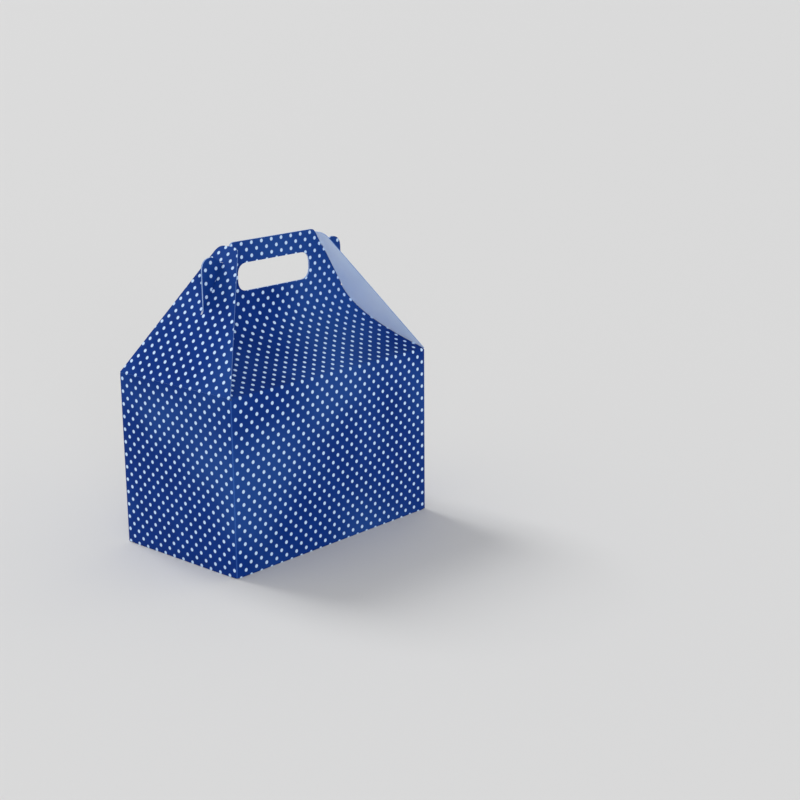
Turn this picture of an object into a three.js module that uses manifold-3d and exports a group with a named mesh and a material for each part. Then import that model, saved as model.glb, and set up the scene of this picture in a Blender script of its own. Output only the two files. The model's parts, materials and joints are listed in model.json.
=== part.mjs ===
// Gable box: a folded carton with a carrying handle, in millimetres, +Z up.
// The origin is at the middle of the base. X runs along the box, the front faces -Y.
import * as THREE from 'three';
import { mergeVertices } from 'three/addons/utils/BufferGeometryUtils.js';
import Module from 'manifold-3d';

// Body
const BODY_LENGTH = 205;
const BODY_WIDTH = 122;
const WALL_HEIGHT = 133;
const BOARD = 0.5;
const FOLD_RADIUS = 1.2;

// Air left between separate sheets of board
const SHEET_GAP = 0.3;

// Roof and handle: both are one sheet that curves up from the shoulder crease
const HANDLE_TOP = 228.5;
const HANDLE_FOOT = 181;
const SHOULDER_SLOPE = 20;
const SHOULDER_PULL = 40;
const FOOT_PULL = 20;
const HANDLE_CORNER_RADIUS = 5;

// Hand hole
const HOLE_LENGTH = 74;
const HOLE_HEIGHT = 21;
const HOLE_CORNER_RADIUS = 9;
const GRIP_DEPTH = 16.5;

// Closing flaps at the two ends
const FLAP_LEAN = 31.8;
const FLAP_LENGTH = 112;
const FLAP_TOP_HALF_WIDTH = 10;
const FLAP_TOP_RADIUS = 9;
const FLAP_SIDE_CLEARANCE = 0.6;

// Slit in each flap and the hook of the handle that locks in it
const SLIT_START = 55;
const SLIT_END = 97;
const SLIT_CLEARANCE = 0.4;
const HOOK_REACH = 73;
const HOOK_CLEARANCE = 0.8;
const HOOK_ROUNDING = 14;
const HOOK_ROOT_SHARE = 0.8;

// Snap-lock bottom
const BOTTOM_CLEARANCE = 1.5;
const BOTTOM_LAYER_GAP = 0.3;
const BOTTOM_TAPER = 12;
const BOTTOM_STEP = 10;
const BOTTOM_TAB_LENGTH = 34;
const BOTTOM_END_DEPTH = 72;
const BOTTOM_CORNER_RADIUS = 6;

// Glued seam inside the rear left corner
const GLUE_FLAP_WIDTH = 16;
const GLUE_FLAP_TAPER = 8;

const CURVE_STEPS = 10;
const ROOF_STEPS = 40;

// Colours of the printed face
const PRINT_BLUE = 0x21439b;
const BOARD_ROUGHNESS = 0.5;

const wasm = await Module();
wasm.setup();
const { Manifold, Mesh } = wasm;

const halfLength = BODY_LENGTH / 2;
const halfWidth = BODY_WIDTH / 2;
const lean = THREE.MathUtils.degToRad(FLAP_LEAN);

// A closed geometry as a solid that can be joined and cut
function solidOf(geometry, matrix = new THREE.Matrix4()) {
  const bare = geometry.clone();
  bare.deleteAttribute('normal');
  bare.deleteAttribute('uv');
  bare.applyMatrix4(matrix);
  const merged = mergeVertices(bare, 1e-5);
  const vertProperties = new Float32Array(merged.attributes.position.array);
  const triVerts = new Uint32Array(merged.index.array);
  return new Manifold(new Mesh({ numProp: 3, vertProperties, triVerts }));
}

// A solid back as a geometry with shared corners
function indexedGeometry(solid) {
  const mesh = solid.getMesh();
  const geometry = new THREE.BufferGeometry();
  geometry.setAttribute('position', new THREE.BufferAttribute(mesh.vertProperties, 3));
  geometry.setIndex(new THREE.BufferAttribute(mesh.triVerts, 1));
  return geometry;
}

// The same with flat faces, ready for a mesh
function geometryOf(solid) {
  const flat = indexedGeometry(solid).toNonIndexed();
  flat.computeVertexNormals();
  return flat;
}

// An outline in the XY plane, raised along Z
function extrude(shape, depth) {
  return new THREE.ExtrudeGeometry(shape, {
    depth,
    bevelEnabled: false,
    curveSegments: CURVE_STEPS,
  });
}

// Outline drawn as (x, z), made as deep as the given span of y
function extrudeAlongY(shape, yFrom, yTo) {
  const upright = new THREE.Matrix4().makeRotationX(Math.PI / 2);
  const place = new THREE.Matrix4().makeTranslation(0, yTo, 0).multiply(upright);
  return solidOf(extrude(shape, yTo - yFrom), place);
}

// Outline drawn as (y, z), made as deep as the given span of x
function extrudeAlongX(shape, xFrom, xTo) {
  const turn = new THREE.Matrix4().makeBasis(
    new THREE.Vector3(0, 1, 0),
    new THREE.Vector3(0, 0, 1),
    new THREE.Vector3(1, 0, 0),
  );
  const place = new THREE.Matrix4().makeTranslation(xFrom, 0, 0).multiply(turn);
  return solidOf(extrude(shape, xTo - xFrom), place);
}

// A polygon whose corners are rounded, each by its own radius
function roundedShape(corners) {
  const shape = new THREE.Shape();
  corners.forEach(({ at, radius = 0 }, index) => {
    const corner = new THREE.Vector2(...at);
    const before = new THREE.Vector2(...corners.at(index - 1).at);
    const after = new THREE.Vector2(...corners[(index + 1) % corners.length].at);
    const toBefore = before.sub(corner);
    const toAfter = after.sub(corner);
    const half = Math.acos(toBefore.clone().normalize().dot(toAfter.clone().normalize())) / 2;
    const room = Math.min(toBefore.length(), toAfter.length()) / 2;
    const cut = Math.min(radius / Math.tan(half), room);
    const start = corner.clone().addScaledVector(toBefore.normalize(), cut);
    const end = corner.clone().addScaledVector(toAfter.normalize(), cut);
    if (index === 0) shape.moveTo(start.x, start.y);
    else shape.lineTo(start.x, start.y);
    if (cut > 0) shape.quadraticCurveTo(corner.x, corner.y, end.x, end.y);
  });
  shape.closePath();
  return shape;
}

// A rectangle about the origin with rounded corners
function roundedRectangle(length, width, radius) {
  const x = length / 2;
  const y = width / 2;
  return roundedShape([
    { at: [-x, -y], radius },
    { at: [x, -y], radius },
    { at: [x, y], radius },
    { at: [-x, y], radius },
  ]);
}

// The four walls: one sheet folded at the corners
function makeWalls() {
  const outline = roundedRectangle(BODY_LENGTH, BODY_WIDTH, FOLD_RADIUS);
  const inner = roundedRectangle(BODY_LENGTH - 2 * BOARD, BODY_WIDTH - 2 * BOARD, FOLD_RADIUS - BOARD);
  outline.holes.push(inner);
  return solidOf(extrude(outline, WALL_HEIGHT));
}

// The curve of the front sheet's outer face in (y, z), from the shoulder to the handle's foot
function roofCurve() {
  const slope = THREE.MathUtils.degToRad(SHOULDER_SLOPE);
  const faceOfHandle = -SHEET_GAP / 2 - BOARD;
  const shoulder = new THREE.Vector2(-halfWidth, WALL_HEIGHT);
  const foot = new THREE.Vector2(faceOfHandle, HANDLE_FOOT);
  const pull = new THREE.Vector2(Math.cos(slope), Math.sin(slope)).multiplyScalar(SHOULDER_PULL);
  return new THREE.CubicBezierCurve(
    shoulder,
    shoulder.clone().add(pull),
    new THREE.Vector2(faceOfHandle, HANDLE_FOOT - FOOT_PULL),
    foot,
  );
}

// Section of the front sheet in (y, z): a strip of board along the roof and up the handle
function roofSection() {
  const curve = roofCurve();
  const outer = [];
  const inner = [];
  for (let step = 0; step <= ROOF_STEPS; step += 1) {
    const point = curve.getPoint(step / ROOF_STEPS);
    const along = curve.getTangent(step / ROOF_STEPS);
    outer.push(point);
    inner.push(point.clone().add(new THREE.Vector2(along.y, -along.x).multiplyScalar(BOARD)));
  }
  const handleFace = outer.at(-1).x;
  outer.push(new THREE.Vector2(handleFace, HANDLE_TOP));
  inner.push(new THREE.Vector2(handleFace + BOARD, HANDLE_TOP));
  // The strip starts inside the top of the wall, so that both are one sheet
  outer.unshift(new THREE.Vector2(-halfWidth, WALL_HEIGHT - FOLD_RADIUS));
  inner[0].set(-halfWidth + BOARD, WALL_HEIGHT - FOLD_RADIUS);
  return new THREE.Shape([...outer, ...inner.reverse()]);
}

// Distance from the middle plane to the inner face of a closed flap, at a height
function flapInnerReach(height) {
  const thickness = (BOARD + SHEET_GAP) / Math.cos(lean);
  return halfLength - (height - WALL_HEIGHT) * Math.tan(lean) - thickness;
}

// Height at which the face of a closed flap stands at a distance from its crease
function flapHeight(distance) {
  return WALL_HEIGHT + distance * Math.cos(lean);
}

// Hook of the handle, drawn as (x, z) on the right. Its top follows an arc about the
// crease of the flap, so that the flap swings clear of it.
function hookShape() {
  const reachOfArc = SLIT_END - HOOK_CLEARANCE;
  const low = flapHeight(SLIT_START + HOOK_CLEARANCE);
  const onArc = (angle) => new THREE.Vector2(
    halfLength - reachOfArc * Math.cos(angle),
    WALL_HEIGHT + reachOfArc * Math.sin(angle),
  );
  const outerAngle = Math.acos((halfLength - HOOK_REACH + HOOK_ROUNDING) / reachOfArc);
  const innerAngle = HOOK_ROOT_SHARE * (Math.PI / 2 - lean);
  const roundEnd = onArc(outerAngle);
  const shape = new THREE.Shape();
  shape.moveTo(onArc(innerAngle).x, low);
  shape.lineTo(HOOK_REACH, low);
  shape.lineTo(HOOK_REACH, roundEnd.y - HOOK_ROUNDING);
  shape.quadraticCurveTo(HOOK_REACH, roundEnd.y, roundEnd.x, roundEnd.y);
  for (let step = 1; step <= CURVE_STEPS; step += 1) {
    const point = onArc(THREE.MathUtils.lerp(outerAngle, innerAngle, step / CURVE_STEPS));
    shape.lineTo(point.x, point.y);
  }
  shape.closePath();
  return shape;
}

// Outline of roof and handle seen along Y, inside the closed flaps
function roofShape() {
  const foot = halfLength - FOLD_RADIUS;
  const top = flapInnerReach(HANDLE_TOP);
  const low = WALL_HEIGHT - FOLD_RADIUS;
  return roundedShape([
    { at: [-foot, low] },
    { at: [foot, low] },
    { at: [foot, WALL_HEIGHT] },
    { at: [top, HANDLE_TOP], radius: HANDLE_CORNER_RADIUS },
    { at: [-top, HANDLE_TOP], radius: HANDLE_CORNER_RADIUS },
    { at: [-foot, WALL_HEIGHT] },
  ]);
}

// Front roof and handle sheet: the curved strip, cut to its outline and pierced by the hand hole
function makeRoofSheet() {
  const nearFace = -halfWidth - BOARD;
  const strip = extrudeAlongX(roofSection(), -halfLength, halfLength);
  const hook = extrude(hookShape(), halfWidth + BOARD);
  const upright = new THREE.Matrix4().makeRotationX(Math.PI / 2);
  const rightHook = solidOf(hook, upright);
  const turned = new THREE.Matrix4().makeRotationZ(Math.PI).multiply(upright);
  turned.premultiply(new THREE.Matrix4().makeTranslation(0, nearFace, 0));
  const leftHook = solidOf(hook, turned);
  const outline = extrudeAlongY(roofShape(), nearFace, 0).add(rightHook).add(leftHook);
  const hole = roundedRectangle(HOLE_LENGTH, HOLE_HEIGHT, HOLE_CORNER_RADIUS);
  const holeHeight = HANDLE_TOP - GRIP_DEPTH - HOLE_HEIGHT / 2;
  const lift = new THREE.Matrix4().makeTranslation(0, 0, holeHeight);
  const punch = solidOf(extrude(hole, halfWidth), lift.multiply(upright));
  return strip.intersect(outline).subtract(punch);
}

// A bottom flap drawn as (across, into the box), laid flat and joined to the wall it hangs from
function bottomFlap(shape, bottom, turn, wallDistance) {
  const place = new THREE.Matrix4().makeRotationZ(turn);
  place.multiply(new THREE.Matrix4().makeTranslation(0, -wallDistance, bottom));
  return solidOf(extrude(shape, BOARD), place);
}

// Snap-lock bottom: end flaps inside, then the rear flap, and the front flap outermost
function makeBottom() {
  const layer = BOARD + BOTTOM_LAYER_GAP;
  const long = halfLength - BOARD - BOTTOM_CLEARANCE;
  const short = halfWidth - BOARD - BOTTOM_CLEARANCE;
  const longFlap = roundedShape([
    { at: [-long, BOARD / 2] },
    { at: [long, BOARD / 2] },
    { at: [long - BOTTOM_TAPER, halfWidth - BOTTOM_STEP], radius: BOTTOM_CORNER_RADIUS },
    { at: [BOTTOM_TAB_LENGTH, halfWidth - BOTTOM_STEP] },
    { at: [BOTTOM_TAB_LENGTH, halfWidth + BOTTOM_STEP], radius: BOTTOM_CORNER_RADIUS },
    { at: [-BOTTOM_TAB_LENGTH, halfWidth + BOTTOM_STEP], radius: BOTTOM_CORNER_RADIUS },
    { at: [-BOTTOM_TAB_LENGTH, halfWidth - BOTTOM_STEP] },
    { at: [-long + BOTTOM_TAPER, halfWidth - BOTTOM_STEP], radius: BOTTOM_CORNER_RADIUS },
  ]);
  const endFlap = roundedShape([
    { at: [-short, BOARD / 2] },
    { at: [short, BOARD / 2] },
    { at: [short - BOTTOM_TAPER, BOTTOM_END_DEPTH], radius: BOTTOM_CORNER_RADIUS },
    { at: [-short + BOTTOM_TAPER, BOTTOM_END_DEPTH], radius: BOTTOM_CORNER_RADIUS },
  ]);
  return [
    bottomFlap(longFlap, 0, 0, halfWidth),
    bottomFlap(longFlap, layer, Math.PI, halfWidth),
    bottomFlap(endFlap, 2 * layer, Math.PI / 2, halfLength),
    bottomFlap(endFlap, 2 * layer, -Math.PI / 2, halfLength),
  ];
}

// Glue flap of the left end, stuck to the inside of the rear wall
function makeGlueFlap() {
  const wallFace = halfWidth - BOARD;
  const left = -halfLength + BOARD / 2;
  const right = left + GLUE_FLAP_WIDTH;
  const low = 3 * (BOARD + BOTTOM_LAYER_GAP) + BOTTOM_CLEARANCE;
  const outline = roundedShape([
    { at: [left, low] },
    { at: [right, low + GLUE_FLAP_TAPER] },
    { at: [right, WALL_HEIGHT - GLUE_FLAP_TAPER] },
    { at: [left, WALL_HEIGHT - BOTTOM_CLEARANCE] },
  ]);
  return extrudeAlongY(outline, wallFace - BOARD, wallFace + BOARD / 2);
}

// Walls, bottom, glue flap and both roof and handle sheets are one folded blank
function makeCarton() {
  const front = makeRoofSheet();
  const rear = solidOf(indexedGeometry(front), new THREE.Matrix4().makeRotationZ(Math.PI));
  const pieces = [front, rear, ...makeBottom(), makeGlueFlap()];
  return pieces.reduce((whole, piece) => whole.add(piece), makeWalls());
}

// Closing flap in its own plane, drawn as (y, distance from the crease), with its slit
function flapShape() {
  const start = (SHEET_GAP + BOARD * Math.sin(lean)) / Math.cos(lean);
  const base = halfWidth - FLAP_SIDE_CLEARANCE;
  const outline = roundedShape([
    { at: [-base, start] },
    { at: [base, start] },
    { at: [FLAP_TOP_HALF_WIDTH, FLAP_LENGTH], radius: FLAP_TOP_RADIUS },
    { at: [-FLAP_TOP_HALF_WIDTH, FLAP_LENGTH], radius: FLAP_TOP_RADIUS },
  ]);
  const slitHalf = SHEET_GAP / 2 + BOARD + SLIT_CLEARANCE;
  outline.holes.push(roundedShape([
    { at: [-slitHalf, SLIT_START], radius: slitHalf },
    { at: [slitHalf, SLIT_START], radius: slitHalf },
    { at: [slitHalf, SLIT_END], radius: slitHalf },
    { at: [-slitHalf, SLIT_END], radius: slitHalf },
  ]));
  return outline;
}

function printedBoard(name, solid) {
  const material = new THREE.MeshStandardMaterial({
    name: 'printed_board',
    color: PRINT_BLUE,
    roughness: BOARD_ROUGHNESS,
    metalness: 0,
  });
  const mesh = new THREE.Mesh(geometryOf(solid), material);
  mesh.name = name;
  return mesh;
}

const box = new THREE.Group();
box.add(printedBoard('carton', makeCarton()));

for (const [name, side] of [['end_flap_right', 1], ['end_flap_left', -1]]) {
  const from = side > 0 ? -BOARD : 0;
  const hinge = new THREE.Group();
  hinge.position.set(side * halfLength, 0, WALL_HEIGHT);
  hinge.rotation.y = -side * lean;
  hinge.add(printedBoard(name, extrudeAlongX(flapShape(), from, from + BOARD)));
  box.add(hinge);
}

export default box;
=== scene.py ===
"""Gable box in printed folding boxboard: a carton, its curved roof and handle, and two end flaps.

Each panel is cut flat in blank coordinates (across the panel, up the panel) and a node tree
bends it along its fold profile, so the print keeps its true scale over every fold and curve.
"""
import json
import logging
import math
from dataclasses import dataclass, field
from enum import Enum, IntEnum

import bmesh
import bpy
from mathutils import Matrix, Vector
from mathutils.geometry import delaunay_2d_cdt


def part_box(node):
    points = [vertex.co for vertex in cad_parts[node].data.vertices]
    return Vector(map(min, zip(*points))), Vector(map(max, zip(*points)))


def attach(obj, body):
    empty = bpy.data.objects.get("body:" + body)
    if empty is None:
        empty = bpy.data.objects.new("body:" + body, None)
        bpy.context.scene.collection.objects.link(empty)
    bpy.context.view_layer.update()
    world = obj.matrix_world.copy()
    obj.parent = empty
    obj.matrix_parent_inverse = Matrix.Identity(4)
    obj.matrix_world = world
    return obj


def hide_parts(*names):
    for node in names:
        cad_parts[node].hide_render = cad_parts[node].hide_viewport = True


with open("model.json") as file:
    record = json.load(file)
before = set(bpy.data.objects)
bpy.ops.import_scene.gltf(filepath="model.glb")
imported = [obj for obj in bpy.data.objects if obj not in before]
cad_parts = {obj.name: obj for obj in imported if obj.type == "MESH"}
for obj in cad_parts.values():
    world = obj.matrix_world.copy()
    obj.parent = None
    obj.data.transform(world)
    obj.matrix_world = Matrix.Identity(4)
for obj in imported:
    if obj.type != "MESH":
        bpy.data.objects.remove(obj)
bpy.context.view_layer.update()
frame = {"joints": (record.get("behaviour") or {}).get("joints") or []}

LOG = logging.getLogger("gable_box")
MM = 0.001
# Slack for rounding errors where a length is shared out in whole parts.
SLACK = 1e-6
# A Bezier side whose handles reach a third of the way is straight and evenly paced.
THIRD = 1 / 3
# Colour sockets of a Mix node, by index, because its other sockets have the same names.
FIRST, SECOND, MIXED = 6, 7, 2

Point = tuple[float, float]
Knot = tuple[Vector, Vector, Vector]
Colour = tuple[float, float, float, float]


class Face(Enum):
    """Sides of the board, in the order of the material slots."""

    PRINTED = 0
    INSIDE = 1
    CUT_EDGE = 2


class Station(IntEnum):
    """Knots of a wall's fold path, from the tip of its bottom flap up to the handle."""

    RAMP = 1
    FLOOR = 2
    BEND = 3
    WALL = 4
    CREASE = 5
    ROOF = 6
    HANDLE = 7


class Level(IntEnum):
    """Layers of the bottom, from below, by the wall that each flap hangs on."""

    FRONT = 0
    REAR = 1
    ENDS = 2


def linear(hex_colour: str) -> Colour:
    """Turn an sRGB hex colour to linear light.

    Args:
        hex_colour: Six hex digits, with or without a hash.

    Returns:
        Linear red, green, blue and an alpha of 1.
    """
    digits = hex_colour.lstrip("#")
    channels = [int(digits[start:start + 2], 16) / 255 for start in (0, 2, 4)]
    red, green, blue = (c / 12.92 if c <= 0.04045 else ((c + 0.055) / 1.055) ** 2.4 for c in channels)
    return red, green, blue, 1.0


def add_node(tree: bpy.types.NodeTree, kind: str, links: dict | None = None, **settings) -> bpy.types.Node:
    """Add a node, set its properties and fill its inputs.

    Args:
        tree: Node tree to add to.
        kind: Node type name.
        links: Input name or index to a value or to another node's output socket.
        settings: Node properties.

    Returns:
        The new node.
    """
    node = tree.nodes.new(kind)
    for name, value in settings.items():
        setattr(node, name, value)
    for key, value in (links or {}).items():
        if isinstance(value, bpy.types.NodeSocket):
            tree.links.new(value, node.inputs[key])
        else:
            node.inputs[key].default_value = value
    return node


def new_material(name: str) -> tuple[bpy.types.Material, bpy.types.NodeTree, bpy.types.Node]:
    """Make a node material.

    Args:
        name: Material name.

    Returns:
        The material, its tree and its Principled shader.
    """
    material = bpy.data.materials.new(name)
    material.use_nodes = True
    tree = material.node_tree
    return material, tree, tree.nodes["Principled BSDF"]


@dataclass(frozen=True)
class Clouds:
    """Soft, broad noise that blends one colour into another between two noise levels, low and high."""

    size_mm: float
    low: float
    high: float
    detail: float
    roughness: float = 0.5
    seed: float | None = None

    def blend(self, tree: bpy.types.NodeTree, place: bpy.types.NodeSocket,
              first: bpy.types.NodeSocket | Colour, second: Colour) -> bpy.types.NodeSocket:
        """Blend two colours: the first where the noise is low, the second where it is high.

        Args:
            tree: Material tree.
            place: Coordinates of the pattern, in metres.
            first: Colour up to the low limit.
            second: Colour from the high limit on.

        Returns:
            The blended colour.
        """
        dimensions, seed = ("3D", {}) if self.seed is None else ("4D", {"W": self.seed})
        noise = add_node(tree, "ShaderNodeTexNoise", {
            "Vector": place, "Scale": 1 / (self.size_mm * MM), "Detail": self.detail,
            "Roughness": self.roughness, **seed}, noise_dimensions=dimensions)
        share = add_node(tree, "ShaderNodeMapRange", {
            "Value": noise.outputs["Fac"], "From Min": self.low, "From Max": self.high})
        mix = add_node(tree, "ShaderNodeMix", {
            "Factor": share.outputs["Result"], FIRST: first, SECOND: second}, data_type="RGBA")
        return mix.outputs[MIXED]


@dataclass(frozen=True)
class Fibres:
    """Relief of the pressed fibres. Real ones are finer; they are drawn as coarse as they need to show."""

    size_mm: float
    height_mm: float
    detail: float
    strength: float

    def roughen(self, tree: bpy.types.NodeTree, place: bpy.types.NodeSocket, shader: bpy.types.Node) -> None:
        """Give a shader the relief.

        Args:
            tree: Material tree.
            place: Coordinates of the pattern, in metres.
            shader: Principled shader.
        """
        noise = add_node(tree, "ShaderNodeTexNoise", {
            "Vector": place, "Scale": 1 / (self.size_mm * MM), "Detail": self.detail})
        bump = add_node(tree, "ShaderNodeBump", {
            "Strength": self.strength, "Distance": self.height_mm * MM, "Height": noise.outputs["Fac"]})
        tree.links.new(bump.outputs["Normal"], shader.inputs["Normal"])


@dataclass(frozen=True)
class DotGrid:
    """Printed dots in millimetres on the blank.

    A cell is two steps wide and two high, with a dot at each corner and one in its middle.
    """

    column_step: float = 5.06
    row_step: float = 4.9
    first_column: float = -2.45
    first_row: float = 63.6
    radius: float = 1.34
    edge: float = 0.28

    def mask(self, tree: bpy.types.NodeTree, blank: bpy.types.NodeSocket) -> bpy.types.NodeSocket:
        """Mask that is 1 on the dots, measured from the nearer of the corner and the middle dots.

        Args:
            tree: Material tree.
            blank: Blank coordinates in metres.

        Returns:
            The mask.
        """
        cell = Vector((2 * self.column_step, 2 * self.row_step, 0))
        first = Vector((self.first_column, self.first_row, 0))
        distances: dict[int, bpy.types.NodeSocket] = {}
        for index, corner in enumerate((first - cell / 2, first)):
            cells = add_node(tree, "ShaderNodeMapping", {
                "Vector": blank, "Location": corner * MM, "Scale": cell * MM}, vector_type="TEXTURE")
            inside = add_node(tree, "ShaderNodeVectorMath", {0: cells.outputs[0]}, operation="FRACTION")
            shares = add_node(tree, "ShaderNodeVectorMath", {
                0: inside.outputs[0], 1: (0.5, 0.5, 0.0)}, operation="SUBTRACT")
            steps = add_node(tree, "ShaderNodeVectorMath", {
                0: shares.outputs[0], 1: cell}, operation="MULTIPLY")
            length = add_node(tree, "ShaderNodeVectorMath", {0: steps.outputs[0]}, operation="LENGTH")
            distances[index] = length.outputs["Value"]
        nearest = add_node(tree, "ShaderNodeMath", distances, operation="MINIMUM")
        ramp = add_node(tree, "ShaderNodeMapRange", {
            "Value": nearest.outputs[0], "From Min": self.radius - self.edge,
            "From Max": self.radius + self.edge, "To Min": 1.0, "To Max": 0.0},
            interpolation_type="SMOOTHSTEP")
        return ramp.outputs["Result"]


@dataclass(frozen=True)
class PrintedBoard:
    """Offset-printed, coated boxboard: deep ink with broad lighter patches of painted sheen laid into its
    colour, pale dots and a soft gloss.
    """

    ink: str = "#0d3585"
    ink_deep: str = "#0a2f7a"
    # Lighter ink used only for the painted sheen: broad patches of painted light, not a tone of the print.
    painted_sheen_ink: str = "#204790"
    ink_worn: str = "#4f7cc4"
    dot: str = "#c6e1ff"
    roughness: float = 0.5
    specular: float = 0.04
    mottle: Clouds = Clouds(26.0, 0.3, 0.7, 3.0, roughness=0.55)
    # Painted sheen: broad soft noise whose seed puts lighter patches on the lower left of the front wall and
    # on the right of the roof, standing in for reflected light.
    painted_sheen: Clouds = Clouds(90.0, 0.47, 0.64, 1.0, roughness=0.4, seed=6.15)
    fibres: Fibres = Fibres(0.9, 0.012, 4.0, 0.35)
    dots: DotGrid = DotGrid()

    def material(self) -> bpy.types.Material:
        """Build the printed face.

        Returns:
            The material.
        """
        material, tree, shader = new_material("printed_boxboard")
        blank = add_node(tree, "ShaderNodeUVMap", uv_map="blank").outputs["UV"]
        even = self.mottle.blend(tree, blank, linear(self.ink_deep), linear(self.ink))
        # Painted sheen: the lighter ink is blended in here as painted light.
        ink_with_painted_sheen = self.painted_sheen.blend(tree, blank, even, linear(self.painted_sheen_ink))
        wear = add_node(tree, "ShaderNodeAttribute", attribute_name="fold_wear").outputs["Fac"]
        worn = add_node(tree, "ShaderNodeMix", {
            "Factor": wear, FIRST: ink_with_painted_sheen, SECOND: linear(self.ink_worn)}, data_type="RGBA")
        dotted = add_node(tree, "ShaderNodeMix", {
            "Factor": self.dots.mask(tree, blank), FIRST: worn.outputs[MIXED], SECOND: linear(self.dot)},
            data_type="RGBA")
        tree.links.new(dotted.outputs[MIXED], shader.inputs["Base Color"])
        self.fibres.roughen(tree, blank, shader)
        shader.inputs["Roughness"].default_value = self.roughness
        shader.inputs["Specular IOR Level"].default_value = self.specular
        return material


@dataclass(frozen=True)
class BareBoard:
    """Unprinted side of the board: pale, matt and slightly fibrous."""

    name: str
    colour: str
    shade: str
    roughness: float = 0.9
    clouds: Clouds = Clouds(40.0, 0.35, 0.65, 2.0)
    fibres: Fibres = Fibres(0.8, 0.03, 5.0, 0.4)

    def material(self) -> bpy.types.Material:
        """Build the bare face.

        Returns:
            The material.
        """
        material, tree, shader = new_material(self.name)
        place = add_node(tree, "ShaderNodeTexCoord").outputs["Object"]
        colour = self.clouds.blend(tree, place, linear(self.shade), linear(self.colour))
        tree.links.new(colour, shader.inputs["Base Color"])
        self.fibres.roughen(tree, place, shader)
        shader.inputs["Roughness"].default_value = self.roughness
        return material


@dataclass
class Board:
    """The boxboard that the whole box is folded from; on its left end the print sits a little off."""

    thickness: float = 0.5 * MM
    end_print_shift: Point = (1.4 * MM, -1.36 * MM)
    printed: PrintedBoard = PrintedBoard()
    # Inside colours: the board's own pale colour, tinted blue and brightened as painted light, standing in
    # for the bluish light that reaches the inner faces.
    inside: BareBoard = BareBoard("bare_boxboard", "#e0efff", "#d6e9ff")
    edge: BareBoard = BareBoard("cut_board_edge", "#6c8fcb", "#5a7dbc")

    def materials(self) -> list[bpy.types.Material]:
        """Materials in the order of Face."""
        return [self.printed.material(), self.inside.material(), self.edge.material()]


def inside_outline(point: Point, outline: list[Point]) -> bool:
    """Tell whether a point lies inside a polygon.

    Args:
        point: The point.
        outline: The polygon's corners.

    Returns:
        True when it lies inside.
    """
    x, y = point
    inside = False
    for (x0, y0), (x1, y1) in zip(outline, outline[1:] + outline[:1]):
        if (y0 > y) != (y1 > y) and x < x0 + (y - y0) * (x1 - x0) / (y1 - y0):
            inside = not inside
    return inside


def arc(centre: Point, radius: float, start: float, end: float, steps: int) -> list[Point]:
    """Points on an arc.

    Args:
        centre: Centre.
        radius: Radius.
        start: First angle in radians.
        end: Last angle in radians.
        steps: Number of steps.

    Returns:
        The points.
    """
    angles = [start + (end - start) * step / steps for step in range(steps + 1)]
    return [(centre[0] + radius * math.cos(a), centre[1] + radius * math.sin(a)) for a in angles]


def rounded(corners: list[tuple[float, float, float]], steps: int = 8) -> list[Point]:
    """Round the corners of a polygon.

    Args:
        corners: x, y and rounding radius of each corner.
        steps: Steps for each rounding.

    Returns:
        The outline.
    """
    points: list[Point] = []
    for index, (x, y, radius) in enumerate(corners):
        corner = Vector((x, y))
        if radius <= 0:
            points.append((x, y))
            continue
        before = Vector(corners[index - 1][:2]) - corner
        after = Vector(corners[(index + 1) % len(corners)][:2]) - corner
        cut = min(radius / math.tan(before.angle(after) / 2), before.length / 2, after.length / 2)
        start = corner + before.normalized() * cut
        end = corner + after.normalized() * cut
        for step in range(steps + 1):
            t = step / steps
            point = start * (1 - t) ** 2 + corner * 2 * t * (1 - t) + end * t ** 2
            points.append((point.x, point.y))
    return points


def subdivide(outline: list[Point], longest: float) -> list[Point]:
    """Drop points that nearly coincide and split the long sides of an outline.

    Args:
        outline: The outline.
        longest: Longest side that stays whole.

    Returns:
        The outline with more points.
    """
    points: list[Point] = []
    shortest = 0.05 * MM
    befores = outline[-1:] + outline[:-1]
    outline = [point for point, before in zip(outline, befores) if math.dist(point, before) > shortest]
    for (x0, y0), (x1, y1) in zip(outline, outline[1:] + outline[:1]):
        parts = max(1, math.ceil(math.hypot(x1 - x0, y1 - y0) / longest - SLACK))
        points += [(x0 + (x1 - x0) * k / parts, y0 + (y1 - y0) * k / parts) for k in range(parts)]
    return points


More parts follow.
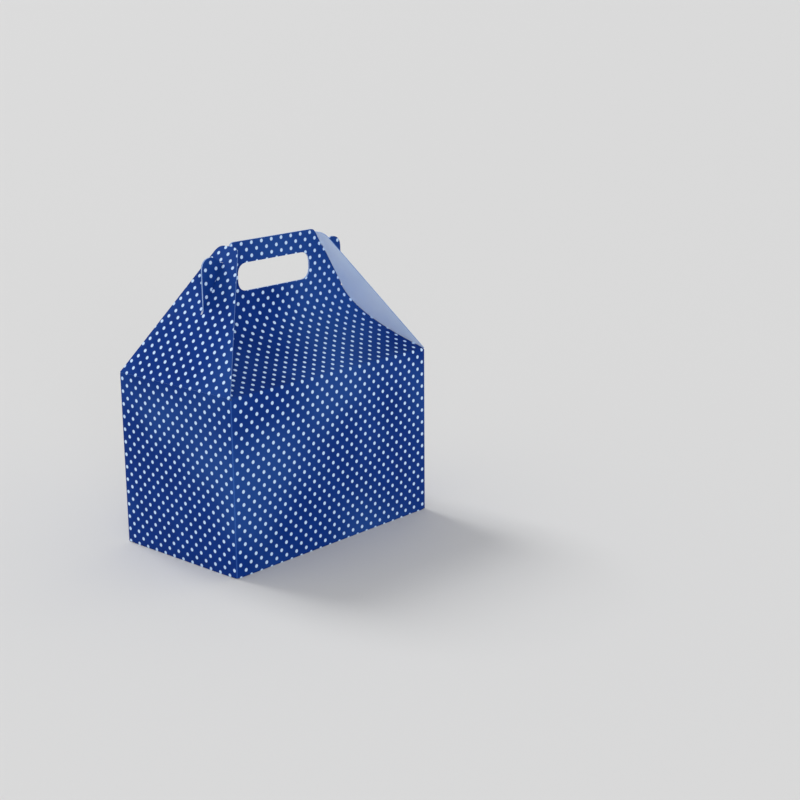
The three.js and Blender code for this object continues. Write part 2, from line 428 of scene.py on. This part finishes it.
def flat_panel(name: str, outline: list[Point], holes: list[list[Point]], rows: list[float],
               spacing: float) -> bpy.types.Object:
    """Cut a flat panel in blank coordinates and mesh it.

    Args:
        name: Object name.
        outline: Outer outline.
        holes: Outlines of holes.
        rows: Heights at which the mesh has rows of points.
        spacing: Spacing of the points across.

    Returns:
        A flat mesh object with x across and y up the panel.
    """
    loops = [subdivide(loop, spacing) for loop in (outline, *holes)]
    points = [Vector(p) for loop in loops for p in loop]
    edges: list[tuple[int, int]] = []
    start = 0
    for loop in loops:
        edges += [(start + k, start + (k + 1) % len(loop)) for k in range(len(loop))]
        start += len(loop)
    low = min(x for x, _ in outline)
    high = max(x for x, _ in outline)
    border = list(points)
    # A point nearer to the border than this would make slivers.
    clear = 0.3 * spacing
    columns = max(2, round((high - low) / spacing))
    for row in rows:
        for k in range(columns + 1):
            spot = (low + (high - low) * k / columns, row)
            if not inside_outline(spot, outline) or any(inside_outline(spot, hole) for hole in holes):
                continue
            point = Vector(spot)
            if min((point - other).length for other in border) > clear:
                points.append(point)
    merge = 0.0001 * MM
    verts, _, faces, *_ = delaunay_2d_cdt(points, edges, [], 0, merge)
    smallest = (0.03 * MM) ** 2
    kept = []
    for face in faces:
        middle = sum((verts[k] for k in face), Vector((0, 0))) / len(face)
        spot = (middle.x, middle.y)
        if inside_outline(spot, outline) and not any(inside_outline(spot, hole) for hole in holes):
            a, b, c = (verts[k] for k in face[:3])
            doubled_area = (b - a).cross(c - a)
            if abs(doubled_area) > smallest:
                kept.append(list(face) if doubled_area > 0 else list(reversed(face)))
    mesh = bpy.data.meshes.new(name)
    mesh.from_pydata([(v.x, v.y, 0) for v in verts], [], kept)
    panel = bpy.data.objects.new(name, mesh)
    bpy.context.scene.collection.objects.link(panel)
    return panel


@dataclass
class FoldPath:
    """Fold profile of a panel: a Bezier path in (depth, height) with a table of its lengths."""

    name: str
    knots: list[Knot]
    resolution: int = 96
    points: list[Vector] = field(init=False)
    lengths: list[float] = field(init=False)

    def __post_init__(self) -> None:
        """Walk along the path and measure it."""
        self.points = [self.knots[0][1]]
        for (_, a, b), (c, d, _) in zip(self.knots, self.knots[1:]):
            for step in range(1, self.resolution + 1):
                t = step / self.resolution
                u = 1 - t
                self.points.append(a * u ** 3 + b * 3 * t * u ** 2 + c * 3 * t ** 2 * u + d * t ** 3)
        self.lengths = [0.0]
        for start, end in zip(self.points, self.points[1:]):
            self.lengths.append(self.lengths[-1] + (end - start).length)

    def curve(self) -> bpy.types.Object:
        """Make the path as a curve object.

        Returns:
            The curve object.
        """
        data = bpy.data.curves.new(self.name, "CURVE")
        data.dimensions = "3D"
        data.resolution_u = self.resolution
        spline = data.splines.new("BEZIER")
        spline.bezier_points.add(len(self.knots) - 1)
        for target, knot in zip(spline.bezier_points, self.knots):
            target.handle_left_type = target.handle_right_type = "FREE"
            target.handle_left, target.co, target.handle_right = (Vector((0, *place)) for place in knot)
        path = bpy.data.objects.new(self.name, data)
        bpy.context.scene.collection.objects.link(path)
        return path

    def knot_length(self, index: int) -> float:
        """Length along the path at a knot."""
        return self.lengths[index * self.resolution]

    def at_height(self, height: float) -> float:
        """Length along the path at a height on its rising part.

        Args:
            height: Height above the ground.

        Returns:
            The length.
        """
        for k in range(len(self.points) - 2, -1, -1):
            low, high = self.points[k].y, self.points[k + 1].y
            if low <= height <= high and high > low:
                share = (height - low) / (high - low)
                return self.lengths[k] + share * (self.lengths[k + 1] - self.lengths[k])
        return self.lengths[-1]

    def height(self, length: float) -> float:
        """Height at a length along the path.

        Args:
            length: Length along the path.

        Returns:
            The height.
        """
        for k in range(len(self.lengths) - 1):
            if self.lengths[k] <= length <= self.lengths[k + 1]:
                step = self.lengths[k + 1] - self.lengths[k]
                share = (length - self.lengths[k]) / step if step else 0.0
                return self.points[k].y + share * (self.points[k + 1].y - self.points[k].y)
        return self.points[-1].y


def straight_knots(*points: Vector) -> list[Knot]:
    """Knots of a path with straight sides.

    Args:
        points: Its corners.

    Returns:
        The knots.
    """
    knots = []
    for k, point in enumerate(points):
        before = points[max(k - 1, 0)]
        after = points[min(k + 1, len(points) - 1)]
        knots.append((point.lerp(before, THIRD), point, point.lerp(after, THIRD)))
    return knots


def folding_tree() -> bpy.types.GeometryNodeTree:
    """Node tree that bends a flat panel along its fold profile and keeps its blank coordinates.

    Returns:
        The tree.
    """
    tree = bpy.data.node_groups.new("fold_panel_along_profile", "GeometryNodeTree")
    for name, kind in (("Geometry", "Geometry"), ("Fold profile", "Object"), ("Blank offset across", "Float"),
                       ("Blank offset up", "Float"), ("Printed face", "Material")):
        tree.interface.new_socket(name, in_out="INPUT", socket_type="NodeSocket" + kind)
    tree.interface.new_socket("Geometry", in_out="OUTPUT", socket_type="NodeSocketGeometry")
    source = add_node(tree, "NodeGroupInput")
    position = add_node(tree, "GeometryNodeInputPosition").outputs[0]
    place = add_node(tree, "ShaderNodeSeparateXYZ", {0: position})
    offset = add_node(tree, "ShaderNodeCombineXYZ", {
        "X": source.outputs["Blank offset across"], "Y": source.outputs["Blank offset up"]})
    blank = add_node(tree, "ShaderNodeVectorMath", {0: position, 1: offset.outputs[0]}, operation="ADD")
    stored = add_node(tree, "GeometryNodeStoreNamedAttribute", {
        "Geometry": source.outputs["Geometry"], "Name": "blank", "Value": blank.outputs[0]},
        data_type="FLOAT2", domain="CORNER")
    path = add_node(tree, "GeometryNodeObjectInfo", {"Object": source.outputs["Fold profile"]})
    sample = add_node(tree, "GeometryNodeSampleCurve", {
        "Curves": path.outputs["Geometry"], "Length": place.outputs["Y"]},
        mode="LENGTH", use_all_curves=False)
    along = add_node(tree, "ShaderNodeSeparateXYZ", {0: sample.outputs["Position"]})
    folded = add_node(tree, "ShaderNodeCombineXYZ", {
        "X": place.outputs["X"], "Y": along.outputs["Y"], "Z": along.outputs["Z"]})
    moved = add_node(tree, "GeometryNodeSetPosition", {
        "Geometry": stored.outputs[0], "Position": folded.outputs[0]})
    real = add_node(tree, "GeometryNodeRealizeInstances", {"Geometry": moved.outputs[0]})
    dressed = add_node(tree, "GeometryNodeSetMaterial", {
        "Geometry": real.outputs[0], "Material": source.outputs["Printed face"]})
    add_node(tree, "NodeGroupOutput", {"Geometry": dressed.outputs[0]})
    return tree


def folding_modifier(panel: bpy.types.Object, tree: bpy.types.GeometryNodeTree, values: dict) -> None:
    """Put the folding tree on a panel and set its named inputs.

    Args:
        panel: Flat panel.
        tree: Folding tree.
        values: Input name to value.
    """
    modifier = panel.modifiers.new("fold", "NODES")
    modifier.node_group = tree
    for item in tree.interface.items_tree:
        if item.in_out == "INPUT" and item.name in values:
            modifier[item.identifier] = values[item.name]


def evaluated_mesh(piece: bpy.types.Object) -> bpy.types.Mesh:
    """Plain mesh of an object with its modifiers applied.

    Args:
        piece: The object.

    Returns:
        A new mesh.
    """
    bpy.context.view_layer.update()
    graph = bpy.context.evaluated_depsgraph_get()
    return bpy.data.meshes.new_from_object(piece.evaluated_get(graph), depsgraph=graph)


@dataclass
class Sizes:
    """Sizes of the folded box in metres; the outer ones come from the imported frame."""

    length: float
    width: float
    height: float
    top: float
    # Roof, handle and hand hole.
    fold: float = 1.0 * MM
    sheet_gap: float = 0.3 * MM
    shoulder_slope: float = math.radians(20)
    shoulder_pull: float = 40 * MM
    handle_pull: float = 20 * MM
    handle_foot: float = 181 * MM
    handle_corner: float = 5 * MM
    hole_length: float = 74 * MM
    hole_height: float = 21 * MM
    hole_corner: float = 9 * MM
    grip_depth: float = 16.5 * MM
    # End flaps, their slits and the handle's hooks.
    lean: float = math.radians(31.8)
    flap_length: float = 109.5 * MM
    flap_top_half: float = 10 * MM
    flap_top_corner: float = 9 * MM
    flap_side_clearance: float = 0.6 * MM
    slit_start: float = 55 * MM
    slit_end: float = 97 * MM
    slit_clearance: float = 0.4 * MM
    hook_reach: float = 71.5 * MM
    hook_clearance: float = 0.8 * MM
    hook_rounding: float = 9.5 * MM
    # Bottom flaps and glue flap.
    bottom_clearance: float = 1.5 * MM
    bottom_taper: float = 12 * MM
    bottom_step: float = 10 * MM
    bottom_tab: float = 34 * MM
    bottom_end_depth: float = 72 * MM
    bottom_corner: float = 6 * MM
    glue_width: float = 16 * MM
    glue_taper: float = 8 * MM

    @classmethod
    def from_frame(cls) -> "Sizes":
        """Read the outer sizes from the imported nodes."""
        low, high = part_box("carton")
        crease = next(j for j in frame["joints"] if j["name"] == "end_flap_left_crease")
        return cls(high[0] - low[0], high[1] - low[1], crease["pos_m"][2], high[2])

    def flap_inner_reach(self, height: float, thickness: float) -> float:
        """Distance from the middle to the inner face of a closed flap.

        Args:
            height: Height above the ground.
            thickness: Thickness of the board.

        Returns:
            The distance along the box.
        """
        slack = (thickness + self.sheet_gap) / math.cos(self.lean)
        return self.length / 2 - (height - self.height) * math.tan(self.lean) - slack


def steps_between(low: float, high: float, spacing: float) -> list[float]:
    """Even values strictly between two limits.

    Args:
        low: Lower limit.
        high: Upper limit.
        spacing: Largest spacing.

    Returns:
        The values.
    """
    parts = max(1, math.ceil((high - low) / spacing))
    return [low + (high - low) * k / parts for k in range(1, parts)]


class Folder:
    """Cuts, folds and joins panels of board and gives them their thickness."""

    spacing = 5 * MM
    weld = 0.02 * MM
    sharp_angle = math.radians(32)

    def __init__(self, board: Board) -> None:
        """Prepare the node tree and the materials.

        Args:
            board: The board.
        """
        self.board = board
        self.tree = folding_tree()
        self.materials = board.materials()

    def panel(self, name: str, outline: list[Point], path: FoldPath, rows: list[float], turn: float,
              blank: Point, holes: list[list[Point]] | None = None) -> bpy.types.Mesh:
        """Cut one panel flat, fold it and turn it to its side of the box.

        Args:
            name: Panel name.
            outline: Outline in blank coordinates, across and up the panel.
            path: Fold path.
            rows: Heights of mesh rows on the blank.
            turn: Turn about the vertical in radians.
            blank: Blank coordinates of the panel's own origin.
            holes: Outlines of holes.

        Returns:
            The folded mesh.
        """
        flat = flat_panel(name, outline, holes or [], rows, self.spacing)
        flat.data.attributes.new("fold_wear", "FLOAT", "POINT")
        curve = path.curve()
        folding_modifier(flat, self.tree, {
            "Fold profile": curve, "Blank offset across": blank[0], "Blank offset up": blank[1],
            "Printed face": self.materials[Face.PRINTED.value]})
        mesh = evaluated_mesh(flat)
        mesh.transform(Matrix.Rotation(turn, 4, "Z"))
        for used in (flat, curve):
            bpy.data.objects.remove(used)
        return mesh

    def piece(self, name: str, meshes: list[bpy.types.Mesh]) -> bpy.types.Object:
        """Join panels into one sheet and give it the board's thickness.

        Args:
            name: Piece name.
            meshes: Folded panels.

        Returns:
            The finished piece.
        """
        shell = bmesh.new()
        for mesh in meshes:
            shell.from_mesh(mesh)
        bmesh.ops.remove_doubles(shell, verts=shell.verts, dist=self.weld)
        joined = bpy.data.meshes.new(name)
        shell.to_mesh(joined)
        shell.free()
        joined.materials.clear()
        for material in self.materials:
            joined.materials.append(material)
        sheet = bpy.data.objects.new(name, joined)
        bpy.context.scene.collection.objects.link(sheet)
        solid = sheet.modifiers.new("board_thickness", "SOLIDIFY")
        solid.thickness = self.board.thickness
        solid.offset = -1
        solid.use_even_offset = True
        solid.material_offset = Face.INSIDE.value
        solid.material_offset_rim = Face.CUT_EDGE.value
        sheet.data = evaluated_mesh(sheet)
        sheet.modifiers.clear()
        sheet.data.shade_smooth()
        sheet.data.set_sharp_from_angle(angle=self.sharp_angle)
        for mesh in meshes:
            bpy.data.meshes.remove(mesh)
        return sheet


@dataclass
class Carton:
    """The folded blank: walls, bottom flaps, glue flap, and roof and handle sheets with hooks."""

    sizes: Sizes
    folder: Folder
    corner_fold: float = 1.2 * MM
    corner_spacing: float = 5 * MM
    corner_steps: int = 4
    corner_wear: float = 0.4
    wear_falloff: int = 6
    foot_fold: float = 0.6 * MM
    foot_bulge: float = 0.3
    fold_pull: float = 0.6
    layer: float = 0.8 * MM
    ramp: float = 6 * MM
    wall_spacing: float = 10 * MM
    roof_spacing: float = 3 * MM
    fold_spacing: float = 0.35 * MM
    foot_rows: Point = (0.8 * MM, 2.5 * MM)
    fold_rows: Point = (0.9 * MM, 2.5 * MM)
    crease_row: float = 1.5 * MM
    hook_steps: int = 10
    glue_clearance: float = 0.05 * MM
    glue_foot: float = 4 * MM
    glue_head: float = 2 * MM

    def foot_knots(self, face: float, depth: float, level: Level) -> list[Vector]:
        """Corners of the path of a bottom flap, from its tip to the foot of its wall.

        Args:
            face: Depth of the wall's outer face.
            depth: Length of the flap.
            level: Layer of the flap.

        Returns:
            The corners, as (depth, height).
        """
        rise = level * self.layer
        bulge = self.foot_fold * self.foot_bulge
        return [Vector((face + depth, rise)), Vector((face + self.ramp, rise)),
                Vector((face + self.foot_fold, 0)), Vector((face + bulge, bulge)),
                Vector((face, self.foot_fold))]

    def roof_path(self, depth: float, level: Level) -> FoldPath:
        """Fold path of the front or rear strip: bottom flap, wall, shoulder, roof and handle.

        Args:
            depth: Length of the bottom flap.
            level: Layer of the bottom flap.

        Returns:
            The path.
        """
        s = self.sizes
        front = -s.width / 2
        face = -s.sheet_gap / 2 - self.folder.board.thickness
        slope = Vector((math.cos(s.shoulder_slope), math.sin(s.shoulder_slope)))
        shoulder = Vector((front, s.height))
        start = shoulder - Vector((0, s.fold))
        end = shoulder + slope * s.fold
        foot = Vector((face, s.handle_foot))
        top = Vector((face, s.top))
        knots = straight_knots(*self.foot_knots(front, depth, level), start)
        knots[-1] = (knots[-1][0], start, start.lerp(shoulder, self.fold_pull))
        knots.append((end.lerp(shoulder, self.fold_pull), end, end + slope * (s.shoulder_pull - s.fold)))
        knots.append((foot - Vector((0, s.handle_pull)), foot, foot.lerp(top, THIRD)))
        knots.append((top.lerp(foot, THIRD), top, top))
        return FoldPath("roof_profile", knots)

    def foot_fold_rows(self, path: FoldPath) -> list[float]:
        """Mesh rows at the knots of the fold between a bottom flap and its wall."""
        return [path.knot_length(k) for k in (Station.RAMP, Station.FLOOR, Station.BEND, Station.WALL)]

    def side_edge(self, path: FoldPath) -> list[Point]:
        """Right edge of roof, hook and handle on the blank, from the end of the shoulder fold up.

        Args:
            path: Fold path of the strip.

        Returns:
            Points as (across, up).
        """
        s = self.sizes
        t = self.folder.board.thickness
        limit = s.length / 2 - self.corner_fold
        low = s.height + (s.slit_start + s.hook_clearance) * math.cos(s.lean)
        radius = s.slit_end - s.hook_clearance
        roof = path.knot_length(Station.ROOF)
        hook_foot = path.at_height(low)
        edge = [(limit, roof)]
        for up in steps_between(roof, hook_foot, self.roof_spacing):
            edge.append((min(limit, s.flap_inner_reach(path.height(up), t)), up))
        edge.append((s.flap_inner_reach(low, t), hook_foot))
        edge.append((s.hook_reach, hook_foot))
        # The hook's outer edge is an arc about the flap's crease, just inside the slit's end.
        outer = math.acos((s.length / 2 - s.hook_reach + s.hook_rounding) / radius)
        plane = math.pi / 2 - s.lean - math.asin((t + s.sheet_gap) / radius)
        swing = arc((0, 0), radius, outer, plane, self.hook_steps)
        on_arc = [(s.length / 2 - x, s.height + z) for x, z in swing]
        # A parabola rounds the hook's lower corner off into the arc.
        end_x, end_z = on_arc[0]
        for step in range(self.hook_steps + 1):
            k = step / self.hook_steps
            x = s.hook_reach * (1 - k * k) + end_x * k * k
            z = end_z - s.hook_rounding * (1 - k) ** 2
            edge.append((x, path.at_height(z)))
        edge += [(x, path.at_height(z)) for x, z in on_arc[1:]]
        return edge

    def strip(self, name: str, turn: float, level: Level, blank: Point) -> bpy.types.Mesh:
        """Front or rear strip of the blank.

        Args:
            name: Panel name.
            turn: Turn about the vertical.
            level: Layer of its bottom flap.
            blank: Blank coordinates of its middle at the ground.

        Returns:
            The folded mesh.
        """
        s = self.sizes
        depth = s.width / 2 + s.bottom_step
        path = self.roof_path(depth, level)
        foot = path.knot_length(Station.WALL)
        shoulder = path.knot_length(Station.CREASE)
        roof = path.knot_length(Station.ROOF)
        handle = path.knot_length(Station.HANDLE)
        total = path.lengths[-1]
        wide = s.length / 2 - self.corner_fold
        flap = wide - s.bottom_clearance
        step = 2 * s.bottom_step
        right = [(s.bottom_tab, 0, s.bottom_corner), (s.bottom_tab, step, 0),
                 (flap - s.bottom_taper, step, s.bottom_corner), (flap, foot - self.foot_fold, 0),
                 (flap, foot, 0), (wide, foot, 0), (wide, shoulder, 0)]
        right += [(x, up, 0) for x, up in self.side_edge(path)]
        right.append((s.flap_inner_reach(s.top, self.folder.board.thickness), total, s.handle_corner))
        outline = rounded(right + [(-x, up, radius) for x, up, radius in reversed(right)])
        middle = path.at_height(s.top - s.grip_depth - s.hole_height / 2)
        hole = rounded([(sx * s.hole_length / 2, middle + sz * s.hole_height / 2, s.hole_corner)
                        for sx, sz in ((-1, -1), (1, -1), (1, 1), (-1, 1))])
        rows = steps_between(0, foot - self.ramp, self.wall_spacing)
        rows += self.foot_fold_rows(path) + [foot + distance for distance in self.foot_rows]
        rows += steps_between(foot, shoulder, self.wall_spacing)
        rows += [shoulder - distance for distance in reversed(self.fold_rows)] + [shoulder]
        rows += steps_between(shoulder, roof, self.fold_spacing) + [roof, roof + self.fold_rows[0]]
        rows += steps_between(roof, handle, self.roof_spacing)
        rows += [handle] + steps_between(handle, total, self.wall_spacing)
        ground = foot - self.foot_fold
        return self.folder.panel(name, outline, path, rows, turn, (blank[0], blank[1] - ground), [hole])

    def end_wall(self, name: str, turn: float, blank: Point) -> bpy.types.Mesh:
        """End wall with its bottom flap.

        Args:
            name: Panel name.
            turn: Turn about the vertical.
            blank: Blank coordinates of its middle at the ground.

        Returns:
            The folded mesh.
        """
        s = self.sizes
        face = -s.length / 2
        knots = self.foot_knots(face, s.bottom_end_depth, Level.ENDS)
        path = FoldPath("end_profile", straight_knots(
            *knots, Vector((face, s.height - s.fold)), Vector((face, s.height))))
        foot = path.knot_length(Station.WALL)
        crease = path.knot_length(Station.CREASE)
        total = path.lengths[-1]
        wide = s.width / 2 - self.corner_fold
        # The end flaps lie between the ramps of the front and rear ones.
        flap = wide - self.ramp
        right = [(flap - s.bottom_taper, 0, s.bottom_corner), (flap, foot - self.foot_fold, 0),
                 (flap, foot, 0), (wide, foot, 0), (wide, crease, 0), (wide, total, 0)]
        outline = rounded(right + [(-x, up, radius) for x, up, radius in reversed(right)])
        rows = steps_between(0, foot - self.ramp, self.wall_spacing) + self.foot_fold_rows(path)
        rows += steps_between(foot, crease, self.wall_spacing) + [crease - self.crease_row, crease]
        ground = foot - self.foot_fold
        return self.folder.panel(name, outline, path, rows, turn, (blank[0], blank[1] - ground))

    def corner(self, name: str, turn: float, across: float, depth: float, low: float, high: float,
               blank: Point) -> bpy.types.Mesh:
        """Rounded vertical fold between two walls.

        Args:
            name: Panel name.
            turn: Turn about the vertical of the wall on its left.
            across: Place of the fold's start along that wall.
            depth: Distance of that wall's face from the middle.
            low: Height of its foot.
            high: Height of its top.
            blank: Blank coordinates of its start at the ground.

        Returns:
            The folded mesh.
        """
        parts = max(1, math.ceil((high - low) / self.corner_spacing - SLACK))
        turns = self.corner_steps
        shell = bmesh.new()
        layer = shell.loops.layers.uv.new("blank")
        wear = shell.verts.layers.float.new("fold_wear")
        grid = []
        for row in range(parts + 1):
            height = low + (high - low) * row / parts
            line = []
            for step in range(turns + 1):
                angle = -math.pi / 2 + math.pi / 2 * step / turns
                vertex = shell.verts.new((across + self.corner_fold * math.cos(angle),
                                          -depth + self.corner_fold * (1 + math.sin(angle)), height))
                vertex[wear] = self.corner_wear * math.sin(math.pi * step / turns) ** self.wear_falloff
                line.append(vertex)
            grid.append(line)
        arc_length = self.corner_fold * math.pi / 2
        for row in range(parts):
            for step in range(turns):
                face = shell.faces.new((grid[row][step], grid[row][step + 1],
                                        grid[row + 1][step + 1], grid[row + 1][step]))
                for loop, (du, dv) in zip(face.loops, ((0, 0), (1, 0), (1, 1), (0, 1))):
                    height = low + (high - low) * (row + dv) / parts
                    loop[layer].uv = (blank[0] + arc_length * (step + du) / turns, blank[1] + height)
        mesh = bpy.data.meshes.new(name)
        shell.to_mesh(mesh)
        shell.free()
        mesh.transform(Matrix.Rotation(turn, 4, "Z"))
        return mesh

    def glue_flap(self) -> bpy.types.Mesh:
        """Glue flap, stuck to the inside of the rear wall at the left end."""
        s = self.sizes
        t = self.folder.board.thickness
        inner = -s.width / 2 + t + self.glue_clearance
        path = FoldPath("glue_profile", straight_knots(Vector((inner, 0)), Vector((inner, s.height))))
        start = s.length / 2 - t
        end = start - s.glue_width
        low, high = self.glue_foot, s.height - self.glue_head
        outline = [(end, low + s.glue_taper), (start, low), (start, high), (end, high - s.glue_taper)]
        return self.folder.panel("glue_flap", outline, path, steps_between(low, high, self.wall_spacing),
                                 math.pi, (0, 0))

    def build(self) -> bpy.types.Object:
        """Fold, join and return the carton."""
        s = self.sizes
        half, side = s.length / 2, s.width / 2
        low, high = self.foot_fold, s.height - s.fold
        quarter = math.pi / 2
        # On the blank, the middles of neighbouring walls lie this far apart.
        pitch = (s.length + s.width) / 2
        shift_x, shift_y = self.folder.board.end_print_shift
        front, right, rear = (0.0, 0.0), (pitch, 0.0), (2 * pitch, 0.0)
        left = (-pitch + shift_x, shift_y)
        meshes = [
            self.strip("front_strip", 0.0, Level.FRONT, front),
            self.strip("rear_strip", 2 * quarter, Level.REAR, rear),
            self.end_wall("right_end", quarter, right),
            self.end_wall("left_end", -quarter, left),
            self.glue_flap(),
        ]
        walls = ((0.0, half, side, front), (quarter, side, half, right),
                 (2 * quarter, half, side, rear), (-quarter, side, half, left))
        for index, (turn, reach, depth, middle) in enumerate(walls):
            across = reach - self.corner_fold
            blank = (middle[0] + across, middle[1])
            meshes.append(self.corner(f"corner_fold_{index}", turn, across, depth, low, high, blank))
        carton = self.folder.piece("carton_board", meshes)
        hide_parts("carton")
        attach(carton, "carton")
        LOG.info("carton folded: %d faces", len(carton.data.polygons))
        return carton


@dataclass
class EndFlap:
    """Closing flap of one end, with the slit that takes the handle's hooks."""

    sizes: Sizes
    folder: Folder
    side: int
    crease_start: float = 0.12 * MM
    crease_rows: Point = (0.8 * MM, 2 * MM)
    row_spacing: float = 4 * MM

    def build(self) -> bpy.types.Object:
        """Cut, fold and return the flap."""
        s = self.sizes
        name = "end_flap_right" if self.side > 0 else "end_flap_left"
        lean = Vector((math.sin(s.lean), math.cos(s.lean)))
        crease = Vector((-s.length / 2, s.height))
        path = FoldPath("flap_profile", straight_knots(crease, crease + lean * s.flap_length))
        base = s.width / 2 - s.flap_side_clearance
        outline = rounded([(-base, self.crease_start, 0), (base, self.crease_start, 0),
                           (s.flap_top_half, s.flap_length, s.flap_top_corner),
                           (-s.flap_top_half, s.flap_length, s.flap_top_corner)])
        half_slit = s.sheet_gap / 2 + self.folder.board.thickness + s.slit_clearance
        slit = rounded([(-half_slit, s.slit_start, half_slit), (half_slit, s.slit_start, half_slit),
                        (half_slit, s.slit_end, half_slit), (-half_slit, s.slit_end, half_slit)])
        rows = [*self.crease_rows, *steps_between(self.crease_rows[-1], s.flap_length, self.row_spacing)]
        turn = self.side * math.pi / 2
        shift = self.folder.board.end_print_shift if self.side < 0 else (0.0, 0.0)
        blank = (self.side * (s.length + s.width) / 2 + shift[0], s.height + shift[1])
        mesh = self.folder.panel(name, outline, path, rows, turn, blank, [slit])
        flap = self.folder.piece(name + "_board", [mesh])
        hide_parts(name)
        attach(flap, name)
        LOG.info("%s folded: %d faces", name, len(flap.data.polygons))
        return flap


@dataclass(frozen=True)
class Lamp:
    """Broad, soft, distant lamp: where its light comes from, its spread in degrees and its irradiance."""

    name: str
    source: tuple[float, float, float]
    spread: float
    strength: float

    def hang(self) -> None:
        """Add the lamp to the scene."""
        data = bpy.data.lights.new(self.name, "SUN")
        data.angle = math.radians(self.spread)
        data.energy = self.strength
        lamp = bpy.data.objects.new(self.name, data)
        bpy.context.scene.collection.objects.link(lamp)
        lamp.rotation_euler = Vector(self.source).to_track_quat("Z", "Y").to_euler()


@dataclass
class Studio:
    """Floor, backdrop, soft lamps and the camera at the photograph's angle."""

    background: str = "#d9d9d9"
    floor_reach: float = 80.0
    floor_roughness: float = 0.9
    room_light: float = 0.6
    sensor_width: float = 36.0
    focal_length: float = 70.47
    azimuth: float = math.radians(-48.12)
    elevation: float = math.radians(15.0)
    roll: float = math.radians(-0.43)
    position: tuple[float, float, float] = (-0.8029, -0.8462, 0.4119)
    clip_start: float = 0.01
    lamps: tuple[Lamp, ...] = (
        Lamp("back_light", (0.0, 1.0, 1.1), 24.0, 1.4),
        Lamp("front_light", (-0.74, -0.9, 0.17), 30.0, 1.3),
    )

    def camera(self) -> None:
        """Place the camera."""
        data = bpy.data.cameras.new("camera")
        data.lens = self.focal_length
        data.sensor_width = self.sensor_width
        data.clip_start = self.clip_start
        camera = bpy.data.objects.new("camera", data)
        bpy.context.scene.collection.objects.link(camera)
        back = Vector((math.sin(self.azimuth) * math.cos(self.elevation),
                       -math.cos(self.azimuth) * math.cos(self.elevation), math.sin(self.elevation)))
        right = Vector((0, 0, 1)).cross(back).normalized()
        up = back.cross(right)
        level = math.cos(self.roll) * right + math.sin(self.roll) * up
        tilted = -math.sin(self.roll) * right + math.cos(self.roll) * up
        matrix = Matrix((level, tilted, back)).transposed().to_4x4()
        matrix.translation = Vector(self.position)
        camera.matrix_world = matrix
        bpy.context.scene.camera = camera

    def floor(self) -> None:
        """Lay a pale floor that keeps the shadow and shows as an even background."""
        mesh = bpy.data.meshes.new("floor")
        reach = self.floor_reach
        corners = [(-reach, -reach, 0), (reach, -reach, 0), (reach, reach, 0), (-reach, reach, 0)]
        mesh.from_pydata(corners, [], [(0, 1, 2, 3)])
        floor = bpy.data.objects.new("floor", mesh)
        bpy.context.scene.collection.objects.link(floor)
        material, _, shader = new_material("matt_floor")
        shader.inputs["Base Color"].default_value = linear(self.background)
        shader.inputs["Roughness"].default_value = self.floor_roughness
        mesh.materials.append(material)

    def world(self) -> None:
        """Light the room evenly and show the background colour to the camera."""
        world = bpy.data.worlds.new("studio")
        bpy.context.scene.world = world
        world.use_nodes = True
        tree = world.node_tree
        tree.nodes.clear()
        seen = add_node(tree, "ShaderNodeBackground", {"Color": linear(self.background), "Strength": 1.0})
        light = add_node(tree, "ShaderNodeBackground", {"Color": (1, 1, 1, 1), "Strength": self.room_light})
        ray = add_node(tree, "ShaderNodeLightPath").outputs["Is Camera Ray"]
        mix = add_node(tree, "ShaderNodeMixShader", {0: ray, 1: light.outputs[0], 2: seen.outputs[0]})
        add_node(tree, "ShaderNodeOutputWorld", {"Surface": mix.outputs[0]})

    def build(self) -> None:
        """Set up the studio."""
        self.camera()
        self.floor()
        self.world()
        for lamp in self.lamps:
            lamp.hang()
        bpy.context.scene.view_settings.view_transform = "Standard"


def main() -> None:
    """Build the studio, the carton and its two end flaps."""
    logging.basicConfig(level=logging.INFO, format="%(name)s: %(message)s")
    Studio().build()
    sizes = Sizes.from_frame()
    folder = Folder(Board())
    Carton(sizes, folder).build()
    for side in (-1, 1):
        EndFlap(sizes, folder, side).build()


if __name__ == "__main__":
    main()
